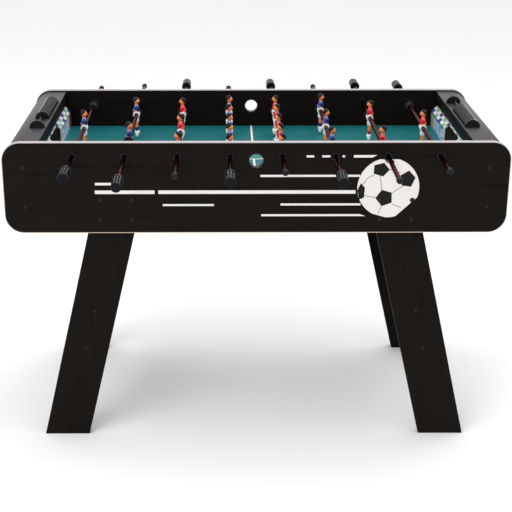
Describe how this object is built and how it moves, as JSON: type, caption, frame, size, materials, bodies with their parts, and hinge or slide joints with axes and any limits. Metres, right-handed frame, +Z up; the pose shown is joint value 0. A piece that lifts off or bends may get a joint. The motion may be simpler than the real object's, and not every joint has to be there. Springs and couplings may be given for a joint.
{
  "type": "foosball table",
  "caption": "Free-standing foosball table: rods of toy players slide and spin over a walled field with a goal and bead scorer at each end, on splayed board legs.",
  "frame": {"origin": "on the floor under the middle of the table, the centre of the bottom of its bounding box", "axes": "+X along the table towards its right-hand end, +Y across it from the front player's side to the back, +Z up"},
  "size_m": [1.21, 1.096, 0.795],
  "materials": {
    "black_board": "satin black laminate with a fine grain",
    "edge_band": "pale grey edge band",
    "end_board": "dark grey satin laminate",
    "field_board": "printed teal playing surface, satin",
    "printed_wall": "printed sheet with a checked stand, satin",
    "black_plastic": "moulded black plastic",
    "bead_plastic": "moulded black plastic with printed numerals",
    "rod_steel": "dark polished steel",
    "bumper_rubber": "black rubber",
    "blue_kit": "moulded and painted player in a blue kit",
    "red_kit": "moulded and painted player in a red kit",
    "block_wood": "plain softwood",
    "black_steel": "blackened steel"
  },
  "bodies": {
    "table": {"back_edge_trim": "edge_band", "back_left_leg": "black_board", "back_right_leg": "black_board", "back_rod_bearings": "black_plastic", "back_side_panel": "black_board", "ball_entry_cups": "black_plastic", "cabinet_screws": "black_steel", "corner_blocks": "block_wood", "front_edge_trim": "edge_band", "front_left_leg": "black_board", "front_right_leg": "black_board", "front_rod_bearings": "black_plastic", "front_side_panel": "black_board", "left_end_panel": "end_board", "left_goal_tray": "black_plastic", "left_goal_wall": "printed_wall", "left_leg_stretcher": "black_board", "left_scorer_brackets": "black_plastic", "leg_bolts": "black_steel", "playfield": "field_board", "right_end_panel": "end_board", "right_goal_tray": "black_plastic", "right_goal_wall": "printed_wall", "right_leg_stretcher": "black_board", "right_scorer_brackets": "black_plastic", "scorer_rods": "rod_steel"},
    "row_1_carriage": {"row_1_bumpers": "bumper_rubber"},
    "row_1": {"row_1_rod": "rod_steel", "row_1_blue_players": "blue_kit", "row_1_grip_and_cap": "black_plastic"},
    "row_2_carriage": {"row_2_bumpers": "bumper_rubber"},
    "row_2": {"row_2_rod": "rod_steel", "row_2_blue_players": "blue_kit", "row_2_grip_and_cap": "black_plastic"},
    "row_3_carriage": {"row_3_bumpers": "bumper_rubber"},
    "row_3": {"row_3_rod": "rod_steel", "row_3_red_players": "red_kit", "row_3_grip_and_cap": "black_plastic"},
    "row_4_carriage": {"row_4_bumpers": "bumper_rubber"},
    "row_4": {"row_4_rod": "rod_steel", "row_4_blue_players": "blue_kit", "row_4_grip_and_cap": "black_plastic"},
    "row_5_carriage": {"row_5_bumpers": "bumper_rubber"},
    "row_5": {"row_5_rod": "rod_steel", "row_5_red_players": "red_kit", "row_5_grip_and_cap": "black_plastic"},
    "row_6_carriage": {"row_6_bumpers": "bumper_rubber"},
    "row_6": {"row_6_rod": "rod_steel", "row_6_blue_players": "blue_kit", "row_6_grip_and_cap": "black_plastic"},
    "row_7_carriage": {"row_7_bumpers": "bumper_rubber"},
    "row_7": {"row_7_rod": "rod_steel", "row_7_red_players": "red_kit", "row_7_grip_and_cap": "black_plastic"},
    "row_8_carriage": {"row_8_bumpers": "bumper_rubber"},
    "row_8": {"row_8_rod": "rod_steel", "row_8_red_players": "red_kit", "row_8_grip_and_cap": "black_plastic"},
    "left_beads": {"left_score_beads": "bead_plastic"},
    "right_beads": {"right_score_beads": "bead_plastic"}
  },
  "joints": [
    {"name": "row_1_slide", "type": "slide", "parent": "table", "child": "row_1_carriage", "axis": [0, 1, 0], "range_m": [-0.021, 0.039]},
    {"name": "row_1_spin", "type": "hinge", "parent": "row_1_carriage", "child": "row_1", "pos_m": [-0.4375, 0, 0.745], "axis": [0, 1, 0], "continuous": true},
    {"name": "row_2_slide", "type": "slide", "parent": "table", "child": "row_2_carriage", "axis": [0, 1, 0], "range_m": [-0.119, 0.115]},
    {"name": "row_2_spin", "type": "hinge", "parent": "row_2_carriage", "child": "row_2", "pos_m": [-0.3125, 0, 0.745], "axis": [0, 1, 0], "continuous": true},
    {"name": "row_3_slide", "type": "slide", "parent": "table", "child": "row_3_carriage", "axis": [0, 1, 0], "range_m": [-0.019, 0.123]},
    {"name": "row_3_spin", "type": "hinge", "parent": "row_3_carriage", "child": "row_3", "pos_m": [-0.1875, 0, 0.745], "axis": [0, 1, 0], "continuous": true},
    {"name": "row_4_slide", "type": "slide", "parent": "table", "child": "row_4_carriage", "axis": [0, 1, 0], "range_m": [-0.001, 0.095]},
    {"name": "row_4_spin", "type": "hinge", "parent": "row_4_carriage", "child": "row_4", "pos_m": [-0.0625, 0, 0.745], "axis": [0, 1, 0], "continuous": true},
    {"name": "row_5_slide", "type": "slide", "parent": "table", "child": "row_5_carriage", "axis": [0, 1, 0], "range_m": [-0.001, 0.095]},
    {"name": "row_5_spin", "type": "hinge", "parent": "row_5_carriage", "child": "row_5", "pos_m": [0.0625, 0, 0.745], "axis": [0, 1, 0], "continuous": true},
    {"name": "row_6_slide", "type": "slide", "parent": "table", "child": "row_6_carriage", "axis": [0, 1, 0], "range_m": [-0.07, 0.072]},
    {"name": "row_6_spin", "type": "hinge", "parent": "row_6_carriage", "child": "row_6", "pos_m": [0.1875, 0, 0.745], "axis": [0, 1, 0], "continuous": true},
    {"name": "row_7_slide", "type": "slide", "parent": "table", "child": "row_7_carriage", "axis": [0, 1, 0], "range_m": [-0.076, 0.158]},
    {"name": "row_7_spin", "type": "hinge", "parent": "row_7_carriage", "child": "row_7", "pos_m": [0.3125, 0, 0.745], "axis": [0, 1, 0], "continuous": true},
    {"name": "row_8_slide", "type": "slide", "parent": "table", "child": "row_8_carriage", "axis": [0, 1, 0], "range_m": [-0.018, 0.042]},
    {"name": "row_8_spin", "type": "hinge", "parent": "row_8_carriage", "child": "row_8", "pos_m": [0.4375, 0, 0.745], "axis": [0, 1, 0], "continuous": true},
    {"name": "left_beads_slide", "type": "slide", "parent": "table", "child": "left_beads", "axis": [0, 1, 0], "range_m": [-0.0855, 0]},
    {"name": "right_beads_slide", "type": "slide", "parent": "table", "child": "right_beads", "axis": [0, -1, 0], "range_m": [-0.0855, 0]}
  ]
}
